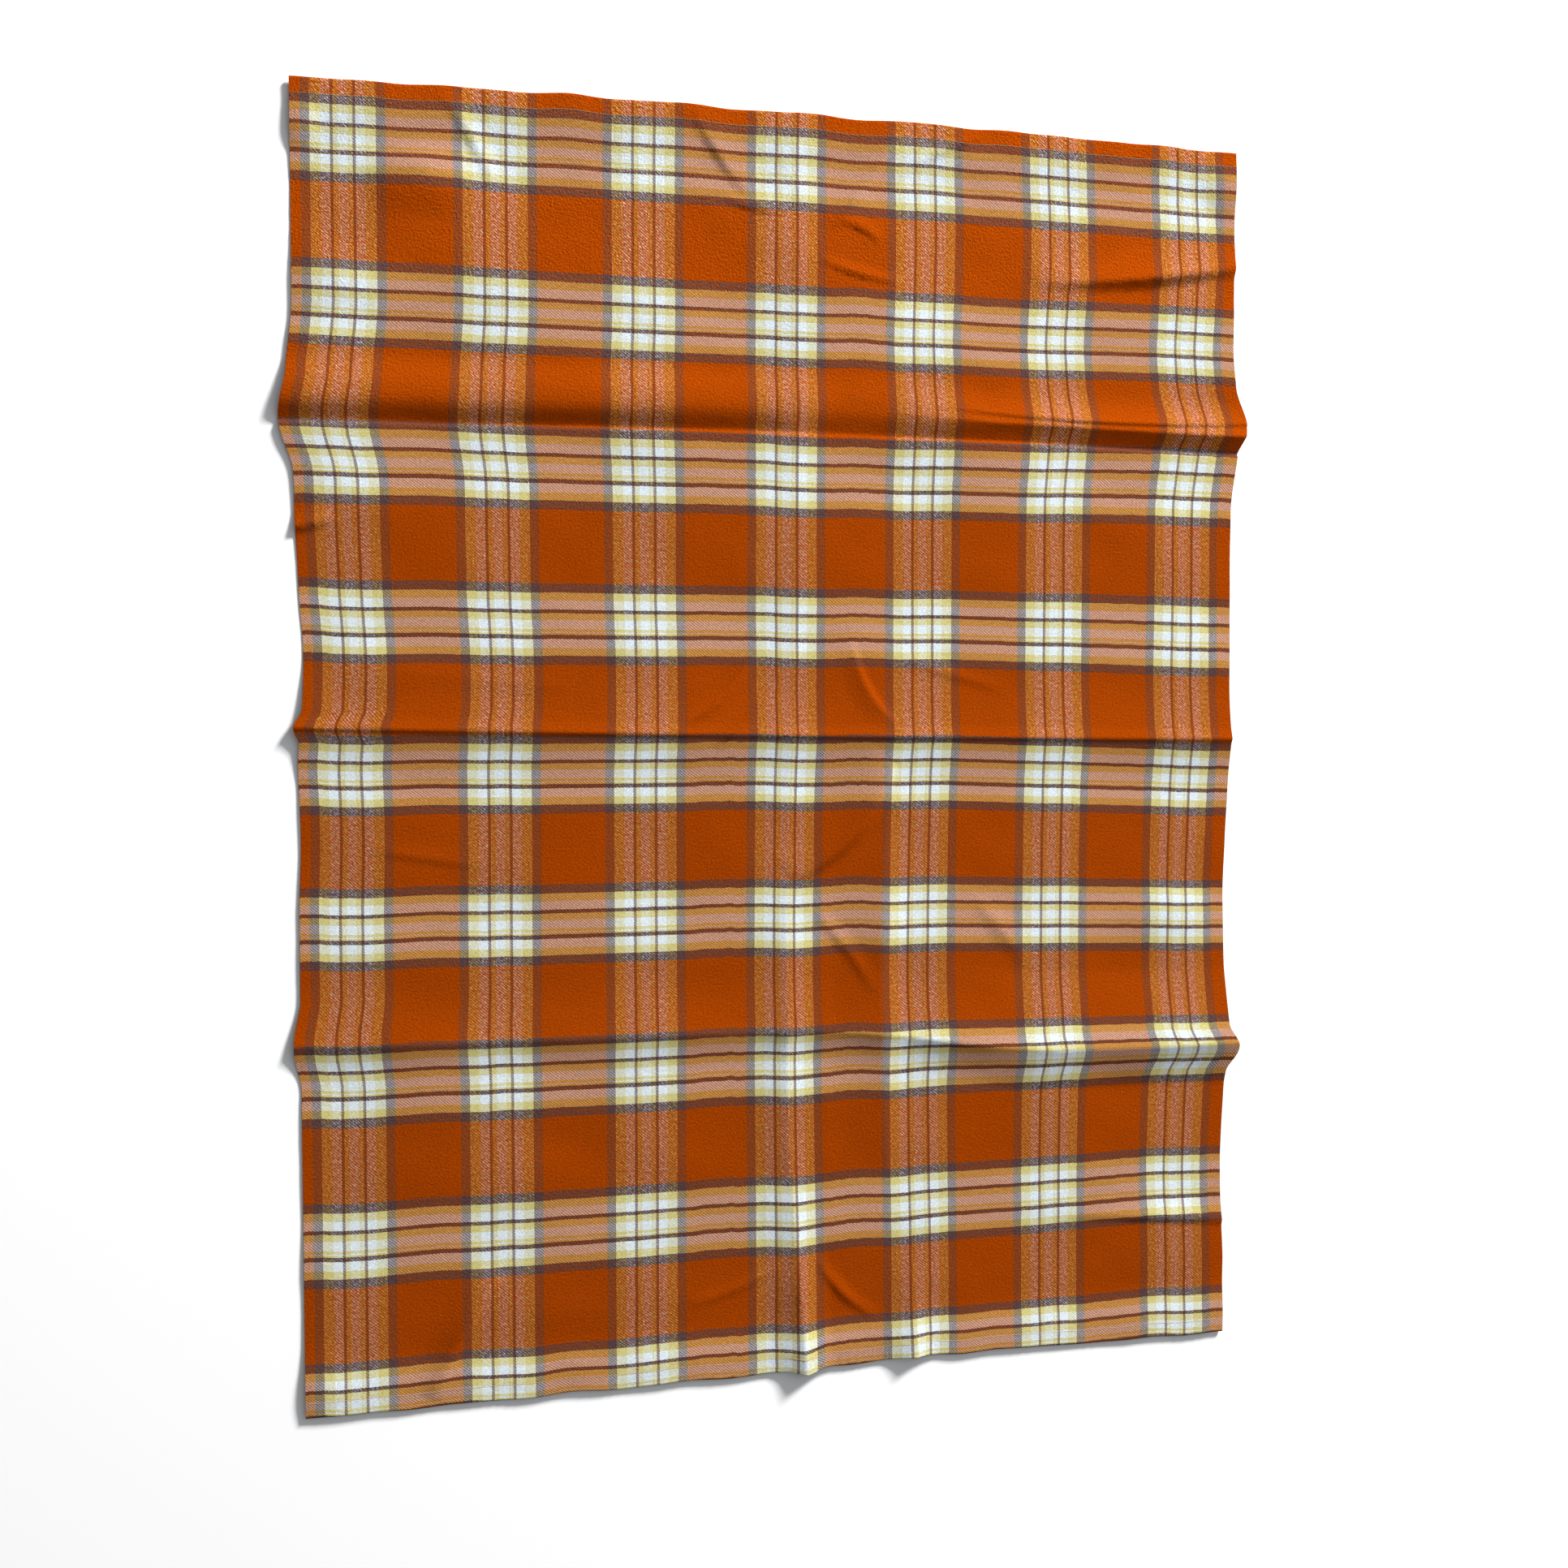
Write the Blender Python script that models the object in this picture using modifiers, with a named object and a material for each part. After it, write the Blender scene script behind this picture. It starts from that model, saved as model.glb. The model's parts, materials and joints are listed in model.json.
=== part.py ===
"""Camp blanket: one woven plaid sheet with a sewn hem at its top and bottom ends.

The sheet lies spread on the ground, X across it, Y along it and Z up, with the origin at the middle of the ground it
covers. It is divided only at the three pressed creases it folds up at, so it has four quarters, and each hem is
held by a needle thread on the face and a bobbin thread on the back. Sizes are in metres.
"""

import bmesh
import bpy
import numpy as np

# Sizes of the sheet.
WIDTH = 1.300
TOP_QUARTER = 0.420
UPPER_QUARTER = 0.424
LOWER_QUARTER = 0.430
BOTTOM_QUARTER = 0.426
CLOTH_THICKNESS = 0.0010
FOLD_LINE_GAP = 0.0008

# Sizes of the hems, which are turned under twice.
HEM_DEPTH = 0.022
HEM_TUCK = 0.010
LAYER_GAP = 0.0003
HEM_LIFT = 0.0011
HEM_SLOPE = 0.060
STITCH_INSET = 0.0015

# Sizes of the sewing threads.
THREAD_DIAMETER = 0.0005
THREAD_CLEARANCE = 0.0003
THREAD_END_MARGIN = 0.002

# Heights of the fold axes above the ground, which leave room for the folded layers.
FACE_GAP = 0.002
TOP_FOLD_HEIGHT = 0.012
BOTTOM_FOLD_HEIGHT = 0.017
MIDDLE_FOLD_HEIGHT = TOP_FOLD_HEIGHT + BOTTOM_FOLD_HEIGHT + FACE_GAP

# Heights and widths of the pressed creases, and how far each crest lies above its fold line at the left and right.
TOP_BULGE_HEIGHT = 0.011
TOP_BULGE_DIP = 0.004
TOP_BULGE_DIP_PLACE = 0.050
TOP_BULGE_DIP_WIDTH = 0.150
TOP_BULGE_WIDTH = 0.046
TOP_LIP_HEIGHT = 0.0025
TOP_LIP_WIDTH = 0.020
MIDDLE_CREST_HEIGHT = 0.014
MIDDLE_CREST_ABOVE = 0.100
MIDDLE_CREST_BELOW = 0.055
MIDDLE_CREST_OFFSET = (0.022, 0.009)
BOTTOM_CREST_HEIGHT = (0.007, 0.021)
BOTTOM_CREST_ABOVE = 0.080
BOTTOM_CREST_BELOW = 0.045
BOTTOM_CREST_OFFSET = (0.049, 0.009)
CENTRE_CREST_HEIGHT = 0.003
CENTRE_CREST_WIDTH = 0.030
CREST_POWER = 2.2

# Fineness of the meshes.
COLUMNS_A_SIDE = 9
ROWS_A_QUARTER = 12
TURN_STEPS = 4
THREAD_BEVEL_RESOLUTION = 2

# Places along the sheet.
LENGTH = TOP_QUARTER + UPPER_QUARTER + LOWER_QUARTER + BOTTOM_QUARTER
TOP_EDGE = LENGTH / 2
TOP_FOLD = TOP_EDGE - TOP_QUARTER
MIDDLE_FOLD = TOP_FOLD - UPPER_QUARTER
BOTTOM_FOLD = MIDDLE_FOLD - LOWER_QUARTER
BOTTOM_EDGE = -TOP_EDGE
LAYER_STEP = CLOTH_THICKNESS + LAYER_GAP

ORANGE = (0.46, 0.085, 0.008, 1.0)
THREAD_YELLOW = (0.70, 0.50, 0.22, 1.0)


def clear_scene():
    """Remove every object the file opened with."""
    for old in list(bpy.data.objects):
        bpy.data.objects.remove(old, do_unlink=True)


def cloth_material(name, colour, roughness):
    """A matt material of one colour."""
    material = bpy.data.materials.new(name)
    material.use_nodes = True
    shader = material.node_tree.nodes["Principled BSDF"]
    shader.inputs["Base Color"].default_value = colour
    shader.inputs["Roughness"].default_value = roughness
    shader.inputs["Metallic"].default_value = 0.0
    return material


def crest(distance, height, width_ahead, width_behind):
    """A pressed crease: sharp at distance 0, and falling to the ground at its width on either side."""
    width = np.where(distance > 0, width_ahead, width_behind)
    share = np.clip(1 - np.abs(distance) / width, 0, 1)
    return height * share**CREST_POWER


def bulge(distance, height, width):
    """A round swell: height at distance 0, meeting the ground without a corner at its width."""
    share = np.clip(1 - (distance / width) ** 2, 0, 1)
    return height * share**2


def across(x, ends):
    """A value that goes evenly from ends[0] at the left edge to ends[1] at the right edge."""
    share = x / WIDTH + 0.5
    return ends[0] + (ends[1] - ends[0]) * share


def crease_height(x, y):
    """How far the pressed creases hold the back of the sheet off the ground at x and y."""
    dip = TOP_BULGE_DIP * np.exp(-(((x - TOP_BULGE_DIP_PLACE) / TOP_BULGE_DIP_WIDTH) ** 2))
    height = bulge(y - TOP_FOLD - TOP_BULGE_WIDTH, TOP_BULGE_HEIGHT - dip, TOP_BULGE_WIDTH)
    height = height + bulge(y - TOP_FOLD + TOP_LIP_WIDTH, TOP_LIP_HEIGHT, TOP_LIP_WIDTH)
    from_middle = y - MIDDLE_FOLD - across(x, MIDDLE_CREST_OFFSET)
    height = height + crest(from_middle, MIDDLE_CREST_HEIGHT, MIDDLE_CREST_ABOVE, MIDDLE_CREST_BELOW)
    from_bottom = y - BOTTOM_FOLD - across(x, BOTTOM_CREST_OFFSET)
    bottom_height = across(x, BOTTOM_CREST_HEIGHT)
    height = height + crest(from_bottom, bottom_height, BOTTOM_CREST_ABOVE, BOTTOM_CREST_BELOW)
    return height + crest(x, CENTRE_CREST_HEIGHT, CENTRE_CREST_WIDTH, CENTRE_CREST_WIDTH)


def columns():
    """The x of each column of points: even along both halves, and closer beside the centre crease."""
    half = np.linspace(CENTRE_CREST_WIDTH, WIDTH / 2, COLUMNS_A_SIDE)
    return np.concatenate([-half[::-1], [0.0], half])


def plain_rows(start, end):
    """Rows of points from start to end along Y, closer together at both ends: y, and height over the creases."""
    turn = np.linspace(0, np.pi, ROWS_A_QUARTER)
    y = (start + end) / 2 + (start - end) / 2 * np.cos(turn)
    return y, np.full_like(y, CLOTH_THICKNESS / 2)


def half_turn(y, z_from, z_to, outward):
    """Points around a half circle that carries the cloth from z_from to z_to, bulging towards outward."""
    angle = np.linspace(0, np.pi, TURN_STEPS + 1)
    radius = abs(z_to - z_from) / 2
    middle = (z_from + z_to) / 2
    return y + outward * radius * np.sin(angle), middle + (z_from - middle) * np.cos(angle)


def hem_rows(fold, edge):
    """Rows from a fold line out to a sewn edge, round it and back under twice: y, and height over the creases."""
    outward = np.sign(edge - fold)
    back_layer = HEM_LIFT + CLOTH_THICKNESS / 2
    tucked_layer = back_layer + LAYER_STEP
    face_layer = tucked_layer + LAYER_STEP
    edge_turn = edge - outward * (LAYER_STEP + CLOTH_THICKNESS / 2)
    inner_turn = edge - outward * (HEM_DEPTH - LAYER_STEP / 2)
    hem_start = edge - outward * HEM_DEPTH
    y, z = plain_rows(fold, hem_start)
    share = np.clip(1 - np.abs(hem_start - y) / HEM_SLOPE, 0, 1)
    z = z + (face_layer - CLOTH_THICKNESS / 2) * share**2 * (3 - 2 * share)
    stitch = edge - outward * (HEM_DEPTH - STITCH_INSET)
    outer = half_turn(edge_turn, face_layer, back_layer, outward)
    inner = half_turn(inner_turn, back_layer, tucked_layer, -outward)
    tuck_end = inner_turn + outward * HEM_TUCK
    y = np.concatenate([y, [stitch], outer[0], [stitch], inner[0], [tuck_end]])
    z = np.concatenate([z, [face_layer], outer[1], [back_layer], inner[1], [tucked_layer]])
    return y, z


def cloth_panel(name, rows, axis, material, collection):
    """A quarter of the sheet: a grid laid along the rows, given its thickness, with its origin on axis."""
    x = columns()
    y, z = rows
    mesh = bpy.data.meshes.new(name)
    grid = bmesh.new()
    bmesh.ops.create_grid(grid, x_segments=len(x) - 1, y_segments=len(y) - 1, size=0.5)
    grid.to_mesh(mesh)
    grid.free()
    flat = np.empty(len(mesh.vertices) * 3)
    mesh.vertices.foreach_get("co", flat)
    flat = flat.reshape(-1, 3)
    column = np.rint((flat[:, 0] + 0.5) * (len(x) - 1)).astype(int)
    row = np.rint((flat[:, 1] + 0.5) * (len(y) - 1)).astype(int)
    place = np.empty_like(flat)
    place[:, 0] = x[column]
    place[:, 1] = y[row]
    place[:, 2] = z[row] + crease_height(place[:, 0], place[:, 1])
    place -= np.array(axis)
    mesh.vertices.foreach_set("co", place.ravel())
    if y[1] < y[0]:
        mesh.flip_normals()
    mesh.materials.append(material)
    mesh.shade_smooth()
    panel = bpy.data.objects.new(name, mesh)
    panel.location = axis
    collection.objects.link(panel)
    wall = panel.modifiers.new("thickness", "SOLIDIFY")
    wall.thickness = CLOTH_THICKNESS
    wall.offset = 0.0
    wall.use_even_offset = True
    return panel


def hem_thread(name, edge, side, material, collection):
    """One sewing thread along a hem, on its face for side 1 and on its back for side -1."""
    outward = np.sign(edge)
    stitch = edge - outward * (HEM_DEPTH - STITCH_INSET)
    back = HEM_LIFT
    face = HEM_LIFT + 2 * LAYER_STEP + CLOTH_THICKNESS
    surface = face if side > 0 else back
    x = columns()
    x[0] += THREAD_END_MARGIN
    x[-1] -= THREAD_END_MARGIN
    z = crease_height(x, stitch) + surface + side * (THREAD_CLEARANCE + THREAD_DIAMETER / 2)
    line = bpy.data.curves.new(name, "CURVE")
    line.dimensions = "3D"
    line.bevel_depth = THREAD_DIAMETER / 2
    line.bevel_resolution = THREAD_BEVEL_RESOLUTION
    line.use_fill_caps = True
    spline = line.splines.new("POLY")
    spline.points.add(len(x) - 1)
    for point, x_here, z_here in zip(spline.points, x, z, strict=True):
        point.co = (x_here, stitch, z_here, 1.0)
    line.materials.append(material)
    thread = bpy.data.objects.new(name, line)
    collection.objects.link(thread)
    return thread


def fold_axis(name, y, z, collection):
    """An empty on a fold's axis, which its quarter is parented to."""
    empty = bpy.data.objects.new(name, None)
    empty.location = (0.0, y, z)
    empty.empty_display_size = WIDTH / 2
    collection.objects.link(empty)
    return empty


def build():
    """Make the four quarters and the four threads."""
    clear_scene()
    collection = bpy.data.collections.new("camp_blanket")
    bpy.context.scene.collection.children.link(collection)
    flannel = cloth_material("plaid_flannel", ORANGE, 0.95)
    thread = cloth_material("hem_thread", THREAD_YELLOW, 0.7)
    gap = FOLD_LINE_GAP / 2

    top_axis = fold_axis("top_fold_axis", TOP_FOLD, TOP_FOLD_HEIGHT, collection)
    middle_axis = fold_axis("middle_fold_axis", MIDDLE_FOLD, MIDDLE_FOLD_HEIGHT, collection)
    bottom_axis = fold_axis("bottom_fold_axis", BOTTOM_FOLD, BOTTOM_FOLD_HEIGHT, collection)

    cloth_panel("upper_middle_quarter", plain_rows(MIDDLE_FOLD + gap, TOP_FOLD - gap), (0, 0, 0), flannel, collection)
    top = cloth_panel("top_quarter", hem_rows(TOP_FOLD + gap, TOP_EDGE), top_axis.location, flannel, collection)
    lower = cloth_panel(
        "lower_middle_quarter",
        plain_rows(BOTTOM_FOLD + gap, MIDDLE_FOLD - gap),
        middle_axis.location,
        flannel,
        collection,
    )
    bottom = cloth_panel(
        "bottom_quarter", hem_rows(BOTTOM_FOLD - gap, BOTTOM_EDGE), bottom_axis.location, flannel, collection
    )
    riders = {top_axis: [top], middle_axis: [lower, bottom_axis], bottom_axis: [bottom]}
    for end, edge, axis in (("top", TOP_EDGE, top_axis), ("bottom", BOTTOM_EDGE, bottom_axis)):
        needle = hem_thread(f"{end}_hem_needle_thread", edge, 1, thread, collection)
        bobbin = hem_thread(f"{end}_hem_bobbin_thread", edge, -1, thread, collection)
        riders[axis] += [needle, bobbin]
    places = {axis: axis.location.copy() for axis in riders}
    for axis, children in riders.items():
        for child in children:
            child.parent = axis
            child.location = child.location - places[axis]
    bpy.context.view_layer.update()


build()
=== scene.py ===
import json
import math

import bpy
import numpy as np
from mathutils import Matrix, Vector


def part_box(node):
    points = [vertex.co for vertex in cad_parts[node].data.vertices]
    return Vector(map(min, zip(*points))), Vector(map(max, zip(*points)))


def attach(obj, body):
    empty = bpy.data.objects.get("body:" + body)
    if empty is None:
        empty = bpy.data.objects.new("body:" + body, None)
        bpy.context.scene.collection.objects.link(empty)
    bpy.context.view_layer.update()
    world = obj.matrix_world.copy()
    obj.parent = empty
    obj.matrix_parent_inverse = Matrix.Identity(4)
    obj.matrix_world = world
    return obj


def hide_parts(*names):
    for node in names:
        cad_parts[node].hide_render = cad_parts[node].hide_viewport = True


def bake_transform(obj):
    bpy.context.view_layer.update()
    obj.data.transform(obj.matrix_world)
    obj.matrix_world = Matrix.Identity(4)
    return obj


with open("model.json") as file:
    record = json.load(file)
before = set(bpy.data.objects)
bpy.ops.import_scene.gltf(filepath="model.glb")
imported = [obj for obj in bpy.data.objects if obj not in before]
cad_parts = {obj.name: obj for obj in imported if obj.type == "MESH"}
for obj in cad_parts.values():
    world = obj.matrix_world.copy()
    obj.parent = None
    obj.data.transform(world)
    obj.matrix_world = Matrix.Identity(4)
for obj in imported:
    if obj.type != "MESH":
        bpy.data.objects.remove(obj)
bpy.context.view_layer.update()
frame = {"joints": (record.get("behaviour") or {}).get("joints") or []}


# ---- The floor, the light and the camera ---------------------------------------------------------
# The blanket is spread on a plain pale floor. A large soft lamp stands low past its top right corner, so the
# pressed creases throw soft shade towards the bottom left. A weak lamp hangs over the blanket, and the camera
# over its left half.

floor_mesh = bpy.data.meshes.new("studio_floor")
floor_reach = 14.0
floor_drop = 0.0002
floor_mesh.from_pydata(
    [(-floor_reach, -floor_reach, -floor_drop), (floor_reach, -floor_reach, -floor_drop),
     (floor_reach, floor_reach, -floor_drop), (-floor_reach, floor_reach, -floor_drop)],
    [], [(0, 1, 2, 3)],
)
floor = bpy.data.objects.new("studio_floor", floor_mesh)
bpy.context.scene.collection.objects.link(floor)
floor_paint = bpy.data.materials.new("studio_floor_paint")
floor_paint.use_nodes = True
floor_shader = floor_paint.node_tree.nodes["Principled BSDF"]
floor_shader.inputs["Base Color"].default_value = (0.95, 0.95, 0.95, 1.0)
floor_shader.inputs["Roughness"].default_value = 0.9
floor_shader.inputs["Specular IOR Level"].default_value = 0.1
floor_mesh.materials.append(floor_paint)


def soft_lamp(name, place, aim, size, power, colour):
    """A square area lamp at place that faces aim."""
    lamp = bpy.data.lights.new(name, "AREA")
    lamp.shape = "SQUARE"
    lamp.size = size
    lamp.energy = power
    lamp.color = colour
    stand = bpy.data.objects.new(name, lamp)
    stand.location = place
    stand.rotation_euler = (Vector(aim) - Vector(place)).to_track_quat("-Z", "Y").to_euler()
    bpy.context.scene.collection.objects.link(stand)
    return stand


soft_lamp("window_lamp", (7.8, 9.9, 5.3), (0.0, 0.0, 0.0), 2.6, 4350.0, (1.0, 0.99, 0.975))
soft_lamp("overhead_lamp", (1.3, 1.2, 2.8), (0.0, 0.0, 0.0), 3.0, 20.0, (0.97, 0.985, 1.0))

studio = bpy.data.worlds.new("studio_air")
studio.use_nodes = True
studio.node_tree.nodes["Background"].inputs["Color"].default_value = (0.93, 0.96, 1.0, 1.0)
studio.node_tree.nodes["Background"].inputs["Strength"].default_value = 0.25
bpy.context.scene.world = studio
bpy.context.scene.view_settings.view_transform = "Standard"

camera = bpy.data.cameras.new("camera")
camera.lens = 40.9
camera.sensor_width = 36.0
camera_stand = bpy.data.objects.new("camera", camera)
camera_place = Vector((-0.605, 0.074, 2.340))
camera_aim = Vector((-0.014, -0.039, 0.0))
backward = (camera_place - camera_aim).normalized()
rightward = Vector((0.0, 1.0, 0.0)).cross(backward).normalized()
upward = backward.cross(rightward)
camera_turn = Matrix((rightward, upward, backward)).transposed()
camera_stand.matrix_world = Matrix.Translation(camera_place) @ camera_turn.to_4x4()
bpy.context.scene.collection.objects.link(camera_stand)
bpy.context.scene.camera = camera_stand


# ---- The plaid cloth -----------------------------------------------------------------------------
# Brushed cotton flannel in a two and two twill. Warp and weft carry the same order of orange, brown, mustard
# and white yarns, and the nap is raised on the face, so the colours of crossing yarns blend into each other.

WARP_REPEAT = 0.1932
WEFT_REPEAT = 0.2026
FIRST_BLOCK_FROM_LEFT = 0.065
FIRST_BLOCK_FROM_TOP = 0.073
WARP_PITCH = 0.00115
WEFT_PITCH = 0.00093

# Yarn colours, how well each yarn covers the one it crosses, and how much better the napped weft does that.
ORANGE = (0.33, 0.047, 0.0004)
BROWN = (0.092, 0.047, 0.045)
MUSTARD = (0.55, 0.49, 0.19)
WHITE = (0.64, 0.71, 0.75)
COVER = {ORANGE: 0.66, BROWN: 0.73, MUSTARD: 0.32, WHITE: 0.28}
WEFT_GAIN = 1.70

# The narrow stripes in their order between two wide orange ones: the yarn, and its width in millimetres.
WARP_ORDER = (
    (BROWN, 12.0), (MUSTARD, 13.5), (WHITE, 12.3), (BROWN, 3.6), (MUSTARD, 6.4), (WHITE, 12.2),
    (MUSTARD, 3.2), (WHITE, 1.3), (MUSTARD, 1.8), (BROWN, 3.8), (WHITE, 12.3), (MUSTARD, 13.5), (BROWN, 12.0),
)
WEFT_ORDER = (
    (BROWN, 11.7), (MUSTARD, 10.4), (WHITE, 11.7), (BROWN, 5.0), (MUSTARD, 8.3), (WHITE, 11.9),
    (MUSTARD, 4.2), (WHITE, 1.7), (MUSTARD, 2.3), (BROWN, 5.2), (WHITE, 11.8), (MUSTARD, 10.4), (BROWN, 11.7),
)


def stripe_ramp(tree, name, order, repeat):
    """A colour ramp over one repeat, with the narrow stripes in its middle. It holds the square roots of the
    yarn colours, with the cover of each yarn as alpha."""
    ramp = tree.nodes.new("ShaderNodeValToRGB")
    ramp.name = name
    ramp.color_ramp.interpolation = "CONSTANT"
    place = 0.5 - sum(width for _, width in order) / 2000 / repeat
    stops = [(0.0, ORANGE)]
    for yarn, width in order:
        stops.append((place, yarn))
        place += width / 1000 / repeat
    stops.append((place, ORANGE))
    elements = ramp.color_ramp.elements
    while len(elements) < len(stops):
        elements.new(1.0)
    for element, (start, yarn) in zip(elements, stops):
        element.position = start
        element.color = (*(channel**0.5 for channel in yarn), COVER[yarn])
    return ramp


def calculated(tree, operation, *values):
    """A Math node: each value is a number, or another node's output to link in."""
    node = tree.nodes.new("ShaderNodeMath")
    node.operation = operation
    for socket, value in zip(node.inputs, values):
        if isinstance(value, (int, float)):
            socket.default_value = value
        else:
            tree.links.new(value, socket)
    return node.outputs[0]


def speckle(tree, coordinates, scale, detail=2.0, roughness=0.5, stretch=(1, 1, 1)):
    """A noise between 0 and 1 in the cloth's own coordinates, stretched along its axes."""
    mapping = tree.nodes.new("ShaderNodeMapping")
    mapping.inputs["Scale"].default_value = stretch
    tree.links.new(coordinates, mapping.inputs["Vector"])
    noise = tree.nodes.new("ShaderNodeTexNoise")
    noise.inputs["Scale"].default_value = scale
    noise.inputs["Detail"].default_value = detail
    noise.inputs["Roughness"].default_value = roughness
    tree.links.new(mapping.outputs[0], noise.inputs["Vector"])
    return noise.outputs["Fac"]


def mixed(tree, blend, factor, first, second):
    """A Mix node for colours: each value is a colour, a number, or another node's output to link in."""
    node = tree.nodes.new("ShaderNodeMix")
    node.data_type = "RGBA"
    node.blend_type = blend
    colour_sockets = (node.inputs[0], node.inputs[6], node.inputs[7])
    for socket, value in zip(colour_sockets, (factor, first, second)):
        if isinstance(value, (int, float, tuple)):
            socket.default_value = value
        else:
            tree.links.new(value, socket)
    return node.outputs[2]


def spread_of(tree, value, low, high):
    """value, which runs from 0 to 1, laid out from low to high."""
    return calculated(tree, "MULTIPLY_ADD", value, high - low, low)


def flannel():
    """The cloth's finish. Its UV map is in metres: across from the left selvedge, down from the top hem."""
    material = bpy.data.materials.new("plaid_flannel")
    material.use_nodes = True
    tree = material.node_tree
    shader = tree.nodes["Principled BSDF"]
    place = tree.nodes.new("ShaderNodeUVMap")
    place.uv_map = "cloth_metres"
    parts = tree.nodes.new("ShaderNodeSeparateXYZ")
    tree.links.new(place.outputs[0], parts.inputs[0])
    across, down = parts.outputs[0], parts.outputs[1]

    # Yarns wander a little, and the nap carries their colours over a stripe's edge, both in metres.
    yarn_wander = 0.0004
    nap_reach = 0.0012
    wander = speckle(tree, place.outputs[0], 160.0)
    fuzz_across = speckle(tree, place.outputs[0], 1500.0, 1.0)
    fuzz_down = speckle(tree, place.outputs[0], 1370.0, 1.0, stretch=(0.7, 1.0, 1.0))
    stray = spread_of(tree, wander, -yarn_wander, yarn_wander)
    warp_place = calculated(tree, "ADD", across, stray)
    warp_place = calculated(tree, "ADD", warp_place, spread_of(tree, fuzz_across, -nap_reach, nap_reach))
    weft_place = calculated(tree, "ADD", down, stray)
    weft_place = calculated(tree, "ADD", weft_place, spread_of(tree, fuzz_down, -nap_reach, nap_reach))
    ramps = []
    for name, where, first, order, repeat in (
        ("warp_stripes", warp_place, FIRST_BLOCK_FROM_LEFT, WARP_ORDER, WARP_REPEAT),
        ("weft_stripes", weft_place, FIRST_BLOCK_FROM_TOP, WEFT_ORDER, WEFT_REPEAT),
    ):
        share = calculated(tree, "MULTIPLY_ADD", where, 1 / repeat, 0.5 - first / repeat)
        ramp = stripe_ramp(tree, name, order, repeat)
        tree.links.new(calculated(tree, "FRACT", share), ramp.inputs[0])
        ramps.append(ramp)
    warp, weft = ramps

    # Two and two twill: the weft lies on top where the sum of the yarn numbers is in the first half of four.
    warp_number = calculated(tree, "MULTIPLY", across, 1 / WARP_PITCH)
    weft_number = calculated(tree, "MULTIPLY", down, 1 / WEFT_PITCH)
    whole = calculated(
        tree, "SUBTRACT", calculated(tree, "FLOOR", warp_number), calculated(tree, "FLOOR", weft_number)
    )
    step = calculated(tree, "FRACT", calculated(tree, "MULTIPLY", whole, 0.25))
    just_under_half = 0.49
    weft_on_top = calculated(tree, "LESS_THAN", step, just_under_half)

    # The share of weft colour: the yarns' cover sets it, the twill line sways it and the nap mottles it.
    twill_sway = 0.18
    weft_cover = calculated(tree, "MULTIPLY", weft.outputs["Alpha"], WEFT_GAIN)
    both = calculated(tree, "ADD", weft_cover, warp.outputs["Alpha"])
    share = calculated(tree, "DIVIDE", weft_cover, both)
    sway = spread_of(tree, weft_on_top, -twill_sway, twill_sway)
    share = calculated(tree, "ADD", share, sway)
    mottle = speckle(tree, place.outputs[0], 330.0, 3.0, 0.65, stretch=(1.0, 0.8, 1.0))
    raised = calculated(tree, "MULTIPLY_ADD", weft.outputs["Alpha"], 3.0, -0.45)
    share = calculated(tree, "MULTIPLY_ADD", calculated(tree, "SUBTRACT", mottle, 0.5), raised, share)
    share.node.use_clamp = True
    colour = mixed(tree, "MIX", share, warp.outputs["Color"], weft.outputs["Color"])
    colour = mixed(tree, "MULTIPLY", 1.0, colour, colour)

    # The cloth was rubbed most near the top hem, and least from some way down it, in metres.
    least_rubbed_place = 0.62
    most_rubbed_place = 0.05
    least_rubbed = 0.18
    rubbed = tree.nodes.new("ShaderNodeMapRange")
    rubbed.inputs["From Min"].default_value = least_rubbed_place
    rubbed.inputs["From Max"].default_value = most_rubbed_place
    rubbed.inputs["To Min"].default_value = least_rubbed
    tree.links.new(down, rubbed.inputs["Value"])

    # Shade of the raised fibres: fine speckle, streaks along the weft, tufts, a slow change, and a paler nap
    # on the weft where it was rubbed.
    fibres = speckle(tree, place.outputs[0], 1900.0, 3.0, 0.7)
    streaks = speckle(tree, place.outputs[0], 900.0, 2.0, 0.6, stretch=(0.25, 1.0, 1.0))
    tufts = speckle(tree, place.outputs[0], 330.0, 3.0, 0.6)
    streak_shade = spread_of(tree, streaks, 0.84, 1.16)
    shade = calculated(tree, "MULTIPLY", spread_of(tree, fibres, 0.62, 1.38), streak_shade)
    shade = calculated(tree, "MULTIPLY", shade, spread_of(tree, tufts, 0.60, 1.40))
    slow = speckle(tree, place.outputs[0], 9.0, 2.0)
    shade = calculated(tree, "MULTIPLY", shade, spread_of(tree, slow, 0.95, 1.05))
    long_nap = calculated(tree, "MULTIPLY_ADD", weft.outputs["Alpha"], 2.9, -0.93)
    long_nap.node.use_clamp = True
    paler = calculated(tree, "MULTIPLY", long_nap, spread_of(tree, rubbed.outputs[0], -0.16, 0.24))
    shade = calculated(tree, "MULTIPLY", shade, calculated(tree, "ADD", paler, 1.0))
    grey = tree.nodes.new("ShaderNodeCombineColor")
    for socket in grey.inputs:
        tree.links.new(shade, socket)
    colour = mixed(tree, "MULTIPLY", 1.0, colour, grey.outputs[0])
    tree.links.new(colour, shader.inputs["Base Color"])

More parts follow.
